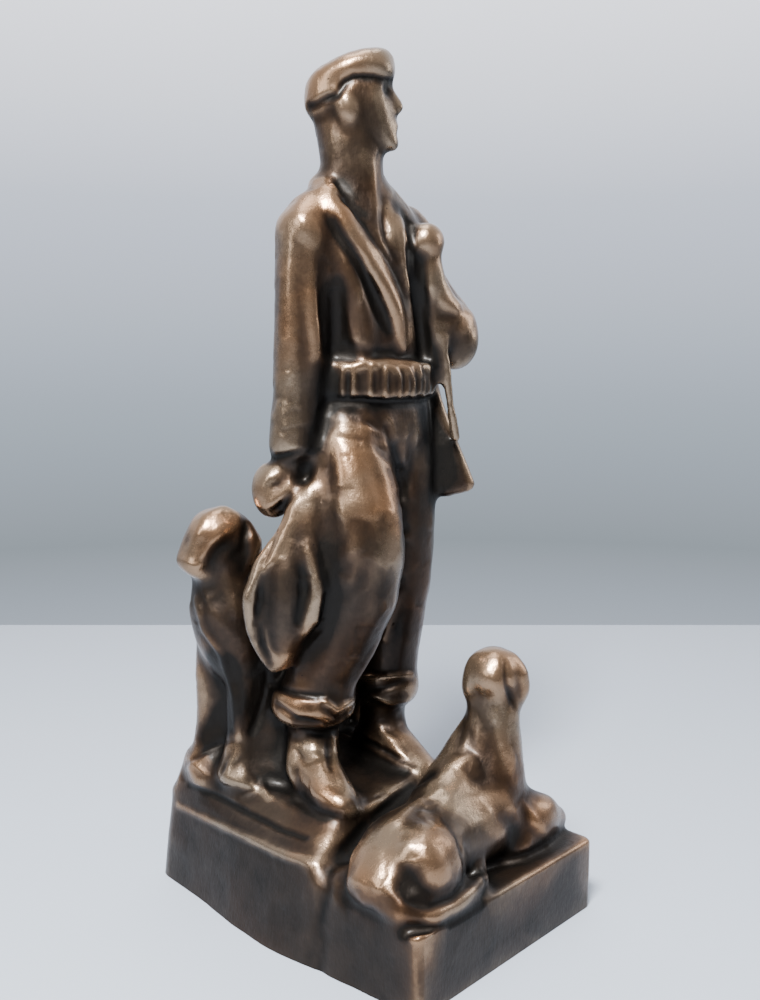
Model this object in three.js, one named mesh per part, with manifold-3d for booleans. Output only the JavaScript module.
// A bronze hunter with two dogs and their ground, cast in one piece.
// Millimetres, +Z up. The hunter faces -Y, and +X is the hunter's left.
// The origin is the middle of the base's underside.

import * as THREE from "three";
import { mergeVertices } from "three/addons/utils/BufferGeometryUtils.js";
import Module from "manifold-3d";

const wasm = await Module();
wasm.setup();

// Driving sizes
const BASE = { width: 132, depth: 188, blockHeight: 36, terraceHeight: 45, groundHeight: 62, swell: 9 };
const STEP_Y = -30; // where the front block meets the raised ground
const BRONZE = { color: 0x6b4f38, roughness: 0.42, metalness: 0.9 };

// Landmarks of the standing figure
const WAIST = [14, 12];
const SHOULDER_RIGHT = new THREE.Vector3(-26, 15, 338);
const SHOULDER_LEFT = new THREE.Vector3(48, 15, 338);
const ELBOW_LEFT = new THREE.Vector3(56, -8, 284);
const FIST_LEFT = new THREE.Vector3(33, -9, 331);
const FIST_RIGHT = new THREE.Vector3(-37, 28, 211);
const ANKLE_RIGHT = new THREE.Vector3(-22, 18, 84);
const ANKLE_LEFT = new THREE.Vector3(27, 16, 84);
const HEAD = new THREE.Vector3(3, 12, 395);

const X = new THREE.Vector3(1, 0, 0);
const Y = new THREE.Vector3(0, 1, 0);
const Z = new THREE.Vector3(0, 0, 1);
const degrees = THREE.MathUtils.degToRad;

// A station on a limb: a point, and half the width and half the depth of the section there
const at = (x, y, z, halfWidth, halfDepth = halfWidth) => ({
  point: new THREE.Vector3(x, y, z),
  halfWidth,
  halfDepth,
});
const near = (mark, dx, dy, dz, halfWidth, halfDepth = halfWidth) =>
  at(mark.x + dx, mark.y + dy, mark.z + dz, halfWidth, halfDepth);

// A closed skin over rings of equal count, with a point closing each end
function skin(rings, first, last) {
  const count = rings[0].length;
  const points = [first, ...rings.flat(), last];
  const index = [];
  const end = points.length - 1;
  for (let j = 0; j < count; j++) {
    const next = (j + 1) % count;
    index.push(0, 1 + next, 1 + j);
    index.push(end, end - count + j, end - count + next);
    for (let k = 0; k + 1 < rings.length; k++) {
      const a = 1 + k * count + j;
      const b = 1 + k * count + next;
      index.push(a, b, b + count, a, b + count, a + count);
    }
  }
  const geometry = new THREE.BufferGeometry().setFromPoints(points);
  geometry.setIndex(index);
  return geometry;
}

// A limb: oval sections strung on a smooth curve through its stations. The width of each section
// lies along `across`, or its depth along facing(point). A bluntness of 2 is an ellipse and more is
// boxier. Each end is domed by `dome` times its half depth, with one ring on the dome, and a dome
// of 0 is flat.
function limb(stations, options = {}) {
  const { across = X, facing = null, sides = 10, bluntness = 2, dome = [1, 1] } = options;
  const spine = new THREE.CatmullRomCurve3(stations.map((s) => s.point));
  const girth = new THREE.CatmullRomCurve3(
    stations.map((s) => new THREE.Vector3(s.halfWidth, s.halfDepth, 0)),
  );
  const steps = stations.length - 1;
  const ring = (t, shift, scale) => {
    const tangent = spine.getTangent(t);
    const size = girth.getPoint(t);
    const centre = spine.getPoint(t).addScaledVector(tangent, shift);
    let wide;
    if (facing) wide = facing(centre).clone().cross(tangent).normalize();
    else wide = across.clone().addScaledVector(tangent, -across.dot(tangent)).normalize();
    const deep = tangent.clone().cross(wide);
    return Array.from({ length: sides }, (_, j) => {
      const angle = (2 * Math.PI * j) / sides;
      const round = (v) => Math.sign(v) * Math.abs(v) ** (2 / bluntness);
      return centre
        .clone()
        .addScaledVector(wide, round(Math.cos(angle)) * size.x * scale)
        .addScaledVector(deep, round(Math.sin(angle)) * size.y * scale);
    });
  };
  const domeAngle = degrees(50);
  const reach = [dome[0] * stations[0].halfDepth, dome[1] * stations.at(-1).halfDepth];
  const rings = [];
  if (reach[0]) rings.push(ring(0, -reach[0] * Math.sin(domeAngle), Math.cos(domeAngle)));
  for (let k = 0; k <= steps; k++) rings.push(ring(k / steps, 0, 1));
  if (reach[1]) rings.push(ring(1, reach[1] * Math.sin(domeAngle), Math.cos(domeAngle)));
  const first = spine.getPoint(0).addScaledVector(spine.getTangent(0), -reach[0]);
  const last = spine.getPoint(1).addScaledVector(spine.getTangent(1), reach[1]);
  return skin(rings, first, last);
}

// An egg: a ball stretched to three half sizes, turned by degrees about X, Y and Z, and placed
function egg(centre, halves, turn = [0, 0, 0], around = 10, rows = 6) {
  return new THREE.SphereGeometry(1, around, rows)
    .rotateX(Math.PI / 2)
    .scale(...halves)
    .applyMatrix4(new THREE.Matrix4().makeRotationFromEuler(new THREE.Euler(...turn.map(degrees))))
    .translate(...(centre.isVector3 ? centre.toArray() : centre));
}

function solidOf(geometry) {
  const bare = geometry.clone();
  bare.deleteAttribute("normal");
  bare.deleteAttribute("uv");
  const merged = mergeVertices(bare, 1e-4);
  return new wasm.Manifold(
    new wasm.Mesh({
      numProp: 3,
      vertProperties: new Float32Array(merged.attributes.position.array),
      triVerts: new Uint32Array(merged.index.array),
    }),
  );
}

function meshOf(solid, name, material) {
  const { vertProperties, triVerts } = solid.getMesh();
  const geometry = new THREE.BufferGeometry()
    .setAttribute("position", new THREE.BufferAttribute(vertProperties, 3))
    .setIndex(new THREE.BufferAttribute(triVerts, 1));
  geometry.computeVertexNormals();
  const mesh = new THREE.Mesh(geometry, material);
  mesh.name = name;
  return mesh;
}

// The ground

// One level of the base seen from above: a rounded rectangle. Its long sides bow out by `swell`
// about the middle of the whole base, and `flare` moves the left side out towards the back.
function levelRing({ left, right, front, back, z, tilt = 0, swell = 0, flare = 0, corner = 5 }) {
  const ring = [];
  const put = (x, y) => ring.push(new THREE.Vector3(x, y, z + tilt * x));
  const bow = (y) => swell * Math.max(0, Math.cos((Math.PI * y) / BASE.depth)) ** 2.5;
  const lean = (y) => (flare * (y - front)) / (back - front);
  const sideSteps = 4;
  const cornerAt = (x, y, start) => {
    for (const a of [0, 45, 90]) {
      put(x + corner * Math.cos(degrees(start + a)), y + corner * Math.sin(degrees(start + a)));
    }
  };
  cornerAt(left + corner - bow(front), front + corner, 180);
  cornerAt(right - corner + bow(front), front + corner, 270);
  for (let k = 1; k < sideSteps; k++) {
    const y = THREE.MathUtils.lerp(front + corner, back - corner, k / sideSteps);
    put(right + bow(y), y);
  }
  cornerAt(right - corner, back - corner, 0);
  cornerAt(left + corner - lean(back), back - corner, 90);
  for (let k = 1; k < sideSteps; k++) {
    const y = THREE.MathUtils.lerp(back - corner, front + corner, k / sideSteps);
    put(left - bow(y) - lean(y), y);
  }
  return ring;
}

function terrace(levels) {
  const rings = levels.map(levelRing);
  const middle = (ring) => {
    const sum = ring.reduce((total, p) => total.add(p), new THREE.Vector3());
    return sum.divideScalar(ring.length);
  };
  return skin(rings, middle(rings[0]), middle(rings.at(-1)));
}

function ground() {
  const halfX = BASE.width / 2;
  const halfY = BASE.depth / 2;
  const side = { left: -halfX, right: halfX };
  const block = terrace([
    { ...side, front: -halfY, back: STEP_Y + 8, z: 0, swell: BASE.swell - 1, corner: 3 },
    { ...side, front: -halfY, back: STEP_Y + 8, z: BASE.blockHeight / 2, swell: 3, corner: 3 },
    { ...side, front: -halfY, back: STEP_Y + 8, z: BASE.blockHeight, corner: 3 },
  ]);
  const rear = (front, z, rest) => ({ ...side, front, back: halfY, z, corner: 7, ...rest });
  const top = BASE.groundHeight;
  const slope = 0.07;
  const raised = (inLeft, inRight, front, z, rest = {}) => ({
    left: -halfX + inLeft,
    right: halfX - inRight,
    front,
    back: halfY - 3,
    z,
    corner: 8,
    flare: 4,
    ...rest,
  });
  const mound = terrace([
    rear(STEP_Y - 11, 0, { swell: BASE.swell }),
    rear(STEP_Y - 11, 20, { swell: 5, flare: -4 }),
    rear(STEP_Y - 11, BASE.blockHeight + 2, { swell: 1.5, flare: -7 }),
    rear(STEP_Y - 4, BASE.terraceHeight - 2, { left: -halfX + 0.5, flare: -7 }),
    rear(STEP_Y, BASE.terraceHeight + 1, { left: -halfX + 1, right: halfX - 1, flare: -6.5 }),
    raised(7, 10, STEP_Y + 1, BASE.terraceHeight + 5, { flare: -1 }),
    raised(8.5, 13, STEP_Y + 2, BASE.terraceHeight + 6, { flare: 0.5 }),
    raised(13, 25, STEP_Y + 3, top - 4, { tilt: slope }),
    raised(20, 34, STEP_Y + 8, top + 1, { tilt: slope, flare: 8 }),
    raised(45, 60, 30, top + 1, { back: 60, flare: 0, tilt: slope }),
  ]);
  // the ground rises in a web between the hunter's right heel and the dog's foreleg
  const bank = limb([
    at(-34, 36, top - 6, 20, 15),
    at(-33, 38, top + 12, 17, 9),
    at(-31, 40, top + 34, 15, 8),
    at(-29, 41, top + 62, 14, 9),
  ], { across: new THREE.Vector3(-0.8, 0.6, 0), sides: 8, dome: [0, 0.3] });
  // and sinks in a soft saddle to the rump of the lying dog
  const saddle = egg([-54, -44, BASE.blockHeight], [12.5, 12, 12], [0, 0, 0], 10, 6);
  return [block, mound, bank, saddle];
}

// The hunter, from the ground up

function boot(ankle, toe, ankleRadius, toeWidth) {
  const heelY = ankle.y + 9;
  const along = (t) => [THREE.MathUtils.lerp(ankle.x, toe.x, t), THREE.MathUtils.lerp(heelY, toe.y, t)];
  const sole = BASE.groundHeight - 2;
  return [
    limb([
      near(ankle, 0, -1, 20, ankleRadius * 0.95),
      near(ankle, 0, -1, 4, ankleRadius),
      near(ankle, 0, -1, -12, ankleRadius * 1.05),
    ]),
    limb([
      at(...along(0.0), sole + 9, toeWidth * 0.9, 10),
      at(...along(0.3), sole + 12, toeWidth * 1.05, 14),
      at(...along(0.58), sole + 8, toeWidth, 11),
      at(...along(0.84), sole + 4, toeWidth, 8.5),
      at(...along(1.0), sole + 3, toeWidth * 0.75, 6.5),
    ], { sides: 11 }),
  ];
}

function cuff(x, y, z, radius) {
  return limb([
    at(x, y - 1, z + 10, radius * 0.84),
    at(x, y - 1, z + 6, radius),
    at(x, y, z - 3, radius * 1.02),
    at(x, y, z - 8, radius * 0.82),
  ], { sides: 12, dome: [0.05, 0.05] });
}

function legs() {
  const [wx, wy] = WAIST;
  return [
    limb([
      at(wx - 15, wy + 1, 248, 20, 21),
      at(wx - 18.5, wy - 3.5, 222, 23, 23),
      at(wx - 21, wy - 10, 200, 24.5, 25),
      at(wx - 22, wy - 14, 178, 23.5, 24),
      at(wx - 22.5, wy - 13, 158, 21.5, 21),
      at(wx - 26, wy - 6, 138, 20, 19),
      at(wx - 32, wy + 1, 120, 19, 18.5),
      at(wx - 35, wy + 4, 104, 18.5, 18),
    ], { sides: 10, dome: [0.5, 0.2] }),
    limb([
      at(wx + 18.5, wy + 1, 248, 19, 20),
      at(wx + 20.5, wy, 220, 20.5, 20),
      at(wx + 21, wy - 1, 190, 20, 20),
      at(wx + 20, wy - 1, 160, 19, 19),
      at(wx + 17, wy + 1, 130, 17.5, 17),
      at(wx + 15, wy + 2, 104, 16, 16),
    ], { sides: 10, dome: [0.5, 0.2] }),
    limb([
      at(wx, wy, 262, 30, 22),
      at(wx + 1, wy + 1, 250, 34, 24),
      at(wx + 1.5, wy + 1, 236, 37.5, 24),
      at(wx + 1.5, wy + 1, 222, 35, 20),
    ], { sides: 14, bluntness: 2.3, dome: [0, 0.5] }),
    cuff(ANKLE_RIGHT.x, ANKLE_RIGHT.y - 1, 102, 21.5),
    cuff(ANKLE_LEFT.x + 1.5, ANKLE_LEFT.y - 2, 100, 17.5),
    ...boot(ANKLE_RIGHT, new THREE.Vector3(-38, -21, 0), 13.5, 12),
    ...boot(ANKLE_LEFT, new THREE.Vector3(22, -19, 0), 12.5, 12),
  ];
}

// The cartridge belt: an oval band fluted all round
function belt() {
  const flutes = 24;
  const pointsPerFlute = 3;
  const half = [36, 27];
  const fluteDepth = 2.4;
  const bottom = 255.5;
  const height = 16.5;
  const outline = [];
  for (let k = 0; k < flutes * pointsPerFlute; k++) {
    const turn = (2 * Math.PI * k) / (flutes * pointsPerFlute);
    const out = k % pointsPerFlute === 0 ? -fluteDepth : 0;
    outline.push(new THREE.Vector2((half[0] + out) * Math.cos(turn), (half[1] + out) * Math.sin(turn)));
  }
  const band = new THREE.ExtrudeGeometry(new THREE.Shape(outline), { depth: height, bevelEnabled: false });
  return band.translate(WAIST[0] + 2, WAIST[1] - 2, bottom);
}

function torso() {
  const [wx, wy] = WAIST;
  return limb([
    at(wx, wy, 252, 29, 21),
    at(wx, wy + 1, 270, 29.5, 22.5),
    at(wx - 1, wy + 1, 285, 31, 23.5),
    at(wx - 2, wy + 1, 305, 35, 24),
    at(wx - 3, wy + 2, 325, 38.5, 25.5),
    at(wx - 6, wy + 3, 340, 35, 22),
    at(wx - 8, wy + 2, 350, 25, 18),
    at(wx - 10, wy + 2, 357, 18, 15),
  ], { sides: 14, bluntness: 2.3, dome: [0, 0.3] });
}

function rightArm() {
  const { x, y } = SHOULDER_RIGHT;
  return [
    limb([
      at(x + 8, y, 345, 11, 13),
      at(x, y, 335, 14.5, 15),
      at(x, y + 1, 308, 14.5, 14.5),
      at(x - 1, y + 2, 283, 13.5, 14),
      at(x - 2, y + 4, 256, 12, 13.5),
      at(x - 4, y + 5, 238, 12, 13),
      at(x - 4, y + 5, 228, 12, 13),
    ], { sides: 10, dome: [0.7, 0.15] }),
    limb([at(x - 4, y + 5, 230, 9, 9), at(x - 7, y + 10, 212, 9, 9)]),
    egg(FIST_RIGHT, [10.5, 12, 14.5], [0, 0, -10], 12, 6),
    egg([FIST_RIGHT.x + 1, FIST_RIGHT.y - 9, FIST_RIGHT.z - 1], [5.5, 6.5, 9.5], [20, 0, 0], 8, 5),
  ];
}

function leftArm() {
  const { x, y } = SHOULDER_LEFT;
  return [
    limb([
      at(x - 6, y, 343, 11, 13),
      at(x, y, 335, 13, 13.5),
      at(x + 3, y - 2, 318, 12.5, 12.5),
      at(x + 8, y - 11, 302, 12.5, 12.5),
      near(ELBOW_LEFT, 0, 0, 4, 13.5, 13.5),
    ], { dome: [0.7, 0.9] }),
    egg(ELBOW_LEFT, [14, 12, 17], [0, 0, -30], 12, 6),
    limb([
      near(ELBOW_LEFT, -2, 0, -2, 11, 11),
      near(ELBOW_LEFT, -9, -1, 12, 10.5, 10.5),
      near(ELBOW_LEFT, -20, -1, 27, 8.5, 8.5),
      near(FIST_LEFT, 1, 0, -8, 7.5, 7.5),
    ], { sides: 8 }),
    egg(FIST_LEFT, [11, 9.5, 10], [0, 0, 20], 10, 6),
  ];
}

// The jacket's collar runs round the nape and turns over into two lapels
function jacketFront() {
  const facing = (p) => new THREE.Vector3(p.x - 5, p.y - 13, 20).normalize();
  const rightLapel = limb([
    at(3, 29, 359, 6, 3),
    at(-13, 21, 359, 7, 3.5),
    at(-20, 8, 351, 8, 4),
    at(-18, 0, 340, 7.5, 4),
    at(-12, -5, 330, 6.5, 3.5),
    at(-5, -8, 320, 7, 3.5),
    at(4, -9.5, 309, 8, 3.5),
    at(10, -10, 299, 8.5, 3.5),
    at(14, -9, 288, 8, 3),
    at(17, -8, 279, 5.5, 2.5),
  ], { facing, sides: 6 });
  const leftLapel = limb([
    at(3, 29, 359, 6, 3),
    at(18, 22, 357, 6, 3),
    at(21, 8, 351, 6, 3.5),
    at(16, -4, 342, 5.5, 3.5),
    at(14, -8.5, 334, 5, 3.5),
    at(16, -10.5, 322, 4.5, 3),
    at(18, -10.5, 308, 3, 2.5),
  ], { facing, sides: 6 });
  const fold = limb([
    at(-20, -1, 328, 5, 2),
    at(-15, -4, 308, 7, 2.5),
    at(-8, -5.5, 286, 7, 2.5),
    at(-4, -6, 273, 6, 2),
  ], { facing, sides: 6 });
  return [rightLapel, leftLapel, fold];
}

// The head, in its own frame: it looks along -Y, with +X to its left, before it is turned and raised
const HEAD_TURN = 42;
const HEAD_RAISE = 14;

function head() {
  const pose = new THREE.Matrix4()
    .makeTranslation(...HEAD.toArray())
    .multiply(new THREE.Matrix4().makeRotationZ(degrees(HEAD_TURN)))
    .multiply(new THREE.Matrix4().makeRotationX(degrees(-HEAD_RAISE)));
  const skull = egg([0, 3, 3], [16.5, 20, 18]);
  const face = limb([
    at(0, -2, 9, 14.5, 15.5),
    at(0, -3, 0, 15.5, 16.5),
    at(0, -4.5, -9, 14, 15),
    at(0, -6.5, -17, 11.5, 12.5),
    at(0, -8.5, -22, 8.5, 9),
  ], { bluntness: 2.2, dome: [0.3, 0.35] });
  const nose = limb([
    at(0, -18, 5, 2.4, 2.6),
    at(0, -20, -2, 2.8, 3),
    at(0, -21, -8, 3.6, 3.4),
  ], { sides: 6, dome: [0.3, 0.6] });
  const lips = egg([0, -17.6, -15.5], [5, 2.2, 2.4], [0, 0, 0], 8, 5);
  const chin = egg([0, -13.6, -21.5], [7, 4.2, 4.8], [0, 0, 0], 8, 5);
  const ears = [-1, 1].map((side) => egg([side * 15.5, 3, -3], [3.5, 6, 8.5], [-10, 0, 0], 8, 5));
  const crown = egg([0, -1.5, 13.5], [19, 24, 9], [-8, 0, 0], 13, 6);
  const band = egg([0, 7, 6], [17, 17.5, 9], [-14, 0, 0], 10, 6);
  const brim = egg([0, -15, 11], [15.5, 9.5, 6.5], [6, 0, 0]);
  return [skull, face, nose, lips, chin, ...ears, crown, band, brim].map((g) => g.applyMatrix4(pose));
}

function neck() {
  return limb([
    at(6, 15, 338, 18, 16),
    at(4, 13, 356, 16, 15.5),
    at(3, 13, 370, 16, 16),
    at(1, 14, 386, 15.5, 16.5),
  ]);
}

// The dead bird that hangs from the right fist: a body between two folded wings
function bird() {
  const hang = new THREE.Vector3(-41, 16, 0);
  const across = new THREE.Vector3(0.69, -0.72, 0);
  const outward = new THREE.Vector3(-0.72, -0.69, 0);
  const on = (side, out, z, halfWidth, halfDepth) => {
    const p = hang.clone().addScaledVector(across, side).addScaledVector(outward, out);
    return at(p.x, p.y, z, halfWidth, halfDepth);
  };
  const body = limb([
    on(6, 0, 206, 4, 3.5),
    on(4, 1, 192, 7, 6),
    on(2, 1.5, 176, 11.5, 10.5),
    on(1, 1.5, 158, 13.5, 11.5),
    on(1, 1.5, 143, 11.5, 10.5),
    on(-1, 1, 131, 8, 8),
  ], { across });
  const wings = [
    [
      on(0, 3, 194, 3, 3),
      on(-10, 5, 178, 4.5, 5),
      on(-16, 7, 161, 4.5, 6),
      on(-14.5, 6, 145, 4.5, 5.5),
      on(-10, 4, 132, 3.5, 4),
      on(-6, 2, 123, 2.5, 2.5),
    ],
    [
      on(7, 3, 198, 3, 3),
      on(12.5, 5, 184, 4, 5),
      on(17, 7, 167, 4.5, 6),
      on(15, 7, 150, 4.5, 5.5),
      on(10, 4, 140, 3, 3.5),
    ],
  ].map((stations) => limb(stations, { across, sides: 6 }));
  // wax that holds the bird and the fist to the thigh
  const hold = egg([-30.5, 9, 193], [9, 10, 24], [0, 0, 0], 8, 6);
  return [body, hold, ...wings];
}

// The gun that hangs at the left side, and its sling through the left fist
function gun() {
  const across = new THREE.Vector3(0.69, -0.72, 0);
  const butt = limb([
    at(55, -12, 204, 11.5, 4.5),
    at(53, -9, 218, 9.5, 4.5),
    at(51, -5.5, 232, 7.5, 4.5),
    at(50, -0.5, 247, 6, 4.5),
    at(50, 5, 265, 5.5, 5),
    at(50, 10, 285, 5, 5),
  ], { across, bluntness: 3, sides: 8, dome: [0.15, 0.3] });
  const barrel = limb([at(50, 8, 280, 3.4), at(47, 22, 312, 3.2), at(42, 34, 345, 3)], { sides: 6 });
  const facing = () => new THREE.Vector3(-0.72, -0.69, 0);
  const sling = limb([
    at(50, -15.5, 231, 3.2, 2.2),
    at(45.5, -15.5, 250, 3.2, 2.2),
    at(42, -14, 270, 4, 2.4),
    at(38, -13, 288, 4.6, 2.8),
    at(35.5, -12, 310, 4.4, 2.2),
    at(34, -11, 324, 4.4, 3),
  ], { facing, sides: 6, bluntness: 3, dome: [0.3, 0.3] });
  const behindSling = limb([
    at(38, -6, 264, 5, 6),
    at(36.5, -6.5, 286, 5, 6),
    at(33, -5, 312, 5, 6),
  ], { sides: 6 });
  const overShoulder = limb([
    at(33, -6, 336, 4, 2),
    at(29, 2, 344, 4, 2),
    at(26, 14, 348, 4, 2),
    at(28, 28, 342, 4, 2),
    at(36, 38, 322, 3.5, 2),
    at(45, 27, 300, 3.5, 2),
  ], { sides: 6, bluntness: 3 });
  return [butt, barrel, sling, behindSling, overShoulder];
}

// The dog that lies across the front block, its head raised and turned to the back
function lyingDog() {
  const y = -62;
  const ground = BASE.blockHeight;
  const body = limb([
    at(-55, y - 1, ground + 12, 19, 15),
    at(-42, y, ground + 17, 22, 20),
    at(-25, y, ground + 18, 21, 20.5),
    at(-5, y, ground + 18, 20, 20),
    at(15, y, ground + 19, 20.5, 21),
    at(32, y + 1, ground + 18, 18, 18),
    at(44, y + 1, ground + 14, 13, 13),
  ], { across: Y, sides: 12 });
  const haunch = egg([-38.5, y - 11, ground + 15], [23.5, 17, 21.5], [0, 12, 8], 12, 8);
  const underHaunch = egg([-50, y - 14, ground], [12, 13, 5], [0, 0, 0], 8, 4);
  const neckAndHead = limb([
    at(21, y + 1, 58, 26, 19),
    at(25, y + 2, 72, 20, 17),
    at(27, y + 2, 86, 15, 15),
    at(28, y + 2, 99, 12.5, 13),
    at(29, y + 3, 113, 12, 12),
  ], { sides: 11 });
  const withers = limb([
    at(27, y + 5, 106, 9.5),
    at(24.5, y + 7.5, 95, 10.5),
    at(19, y + 10, 84, 12.5),
    at(6, y + 9, 71, 15.5),
    at(-12, y + 4, 62, 17),
  ], { sides: 9, dome: [0.5, 0.5] });
  const skullCentre = new THREE.Vector3(29, y + 4, 121);
  const skull = egg(skullCentre, [13, 15.5, 14.5], [0, 0, -47], 12, 7);
  const look = new THREE.Vector3(0.72, 0.69, 0);
  const side = new THREE.Vector3(0.69, -0.72, 0);
  const from = (forward, aside, up, halfWidth, halfDepth) => {
    const p = skullCentre.clone().addScaledVector(look, forward).addScaledVector(side, aside);
    return at(p.x, p.y, p.z + up, halfWidth, halfDepth);
  };
  const muzzle = limb([
    from(4, 0, 0, 10, 10),
    from(16, 0, -3, 7.5, 7.5),
    from(25, 0, -5, 6, 6),
  ], { across: side, bluntness: 2.4, dome: [0.5, 0.5] });
  const ear = (s, spread) =>
    limb([
      from(0, s * 8, 9, 5, 4),
      from(0, s * (spread - 1), 2, 8, 4.5),
      from(1, s * spread, -7, 8, 4.5),
      from(1, s * (spread - 2), -15, 4.5, 3.5),
    ], { across: look, sides: 7 });
  const ears = [ear(-1, 11.5), ear(1, 14)];
  const elbow = egg([40, y - 12, ground + 12], [22, 12, 14], [0, 12, 0], 12, 6);
  const forelegs = [-1, 1].map((s) =>
    limb([
      at(22, y + s * 15, ground + 6, 8, 7),
      at(40, y + s * 16, ground + 7, 7.5, 7.5),
      at(55, y + s * 13, ground + 9 + s, 7.5, 8.5),
      at(62, y + s * 12, ground + 5.5, 6.5, 6.5),
    ], { across: Y, dome: [1, 0.4] }),
  );
  const tail = limb([
    at(-50, y + 6, ground + 17, 14, 13),
    at(-59, y - 7, ground + 11, 11, 11),
    at(-60, y - 18, ground + 6, 9, 7.5),
    at(-50, y - 25.5, ground + 3.5, 6.5, 5.5),
    at(-32, y - 26.5, ground + 3.5, 5.5, 4.5),
    at(-16, y - 24.5, ground + 4.5, 5, 4.5),
    at(-8, y - 19, ground + 7, 4, 4),
  ], { across: Z, sides: 8, dome: [0.4, 1] });
  const trunk = [body, haunch, underHaunch, withers, elbow, tail];
  return [...trunk, neckAndHead, skull, muzzle, ...ears, ...forelegs];
}

// The dog that stands behind the hunter's legs and looks out at the right
function standingDog() {
  const y = 58;
  const ground = BASE.groundHeight;
  const body = limb([
    at(-40, y, ground + 82, 16, 21),
    at(-18, y + 1, ground + 83, 17, 23),
    at(8, y + 2, ground + 86, 15, 18.5),
    at(30, y + 3, ground + 86, 15, 19),
    at(44, y + 3, ground + 81, 16, 21),
  ], { across: Y, sides: 11 });
  const chest = limb([
    at(-43, y - 2, 118, 10, 17),
    at(-45, y - 2, 133, 15, 19),
    at(-47, y - 1, 148, 16, 19),
    at(-45.5, y, 163, 15, 16),
    at(-46, y - 1, 178, 13.5, 14),
  ], { sides: 12, dome: [0.5, 0.5] });
  const skull = egg([-48, y - 1, 187], [17.5, 14.5, 14], [0, 0, 0], 12, 7);
  const muzzle = limb([
    at(-47, y, 187, 14.5),
    at(-54.5, y + 1.5, 177, 13.5),
    at(-60.5, y + 4, 168, 10.5),
  ], { across: Y, bluntness: 2.6, dome: [0.5, 0.2] });
  const ear = (s) =>
    limb([
      at(-41, y + s * 10, 194, 5, 4),
      at(-38, y + s * 14.5, 184, 7.5, 4.5),
      at(-37, y + s * 14.5, 172, 5, 4),
    ], { sides: 6 });
  const foreleg = (x, yy) =>
    limb([
      at(x + 7, yy + 2, ground + 84, 11, 10),
      at(x + 4, yy + 1, ground + 62, 10.5, 9.5),
      at(x, yy, ground + 42, 7.5, 8.5),
      at(x - 1, yy, ground + 24, 6.5, 7.5),
      at(x - 1, yy, ground + 10, 9.5, 10.5),
      at(x - 1, yy - 1, ground, 15, 16),
    ], { sides: 8, dome: [1, 0] });
  const paw = (x, yy, halves, turn) => egg([x, yy, ground - 5], halves, [0, 0, turn], 10, 6);
  const hindleg = (x, yy) =>
    limb([
      at(x - 2, yy, ground + 76, 17, 11),
      at(x - 5, yy, ground + 54, 12, 9),
      at(x + 5, yy, ground + 34, 7, 6),
      at(x + 3, yy, ground + 16, 6, 6),
      at(x - 1, yy, ground + 2, 10, 7),
    ], { sides: 8 });
  const web = limb([at(2, y + 2, ground - 6, 48.5, 8), at(2, y + 2, 150, 48.5, 8)], {
    bluntness: 6,
    sides: 8,
    dome: [0, 0],
  });
  const root = egg([-45, y + 18, ground], [13, 14, 11], [0, 0, 0], 8, 4);
  const tail = limb([
    at(56, y + 3, 152, 5, 5),
    at(62, y + 5, 120, 4.2, 4.2),
    at(57, y + 5, 90, 3, 3),
  ], { sides: 6 });
  const legsAndPaws = [
    foreleg(-44.5, y - 11.5),
    foreleg(-45, y + 13),
    paw(-42, y - 15, [15, 15, 9], -20),
    paw(-46, y + 8, [15, 17, 10], 0),
    hindleg(44, y - 6),
    hindleg(44, y + 11),
  ];
  return [body, chest, skull, muzzle, ear(-1), ear(1), tail, web, root, ...legsAndPaws];
}

const forms = [
  ...ground(),
  ...legs(),
  belt(),
  torso(),
  ...rightArm(),
  ...leftArm(),
  ...jacketFront(),
  neck(),
  ...head(),
  ...bird(),
  ...gun(),
  ...lyingDog(),
  ...standingDog(),
];
const casting = forms.map(solidOf).reduce((whole, form) => whole.add(form));

const group = new THREE.Group();
group.add(meshOf(casting, "hunter_and_dogs", new THREE.MeshStandardMaterial(BRONZE)));

export default group;
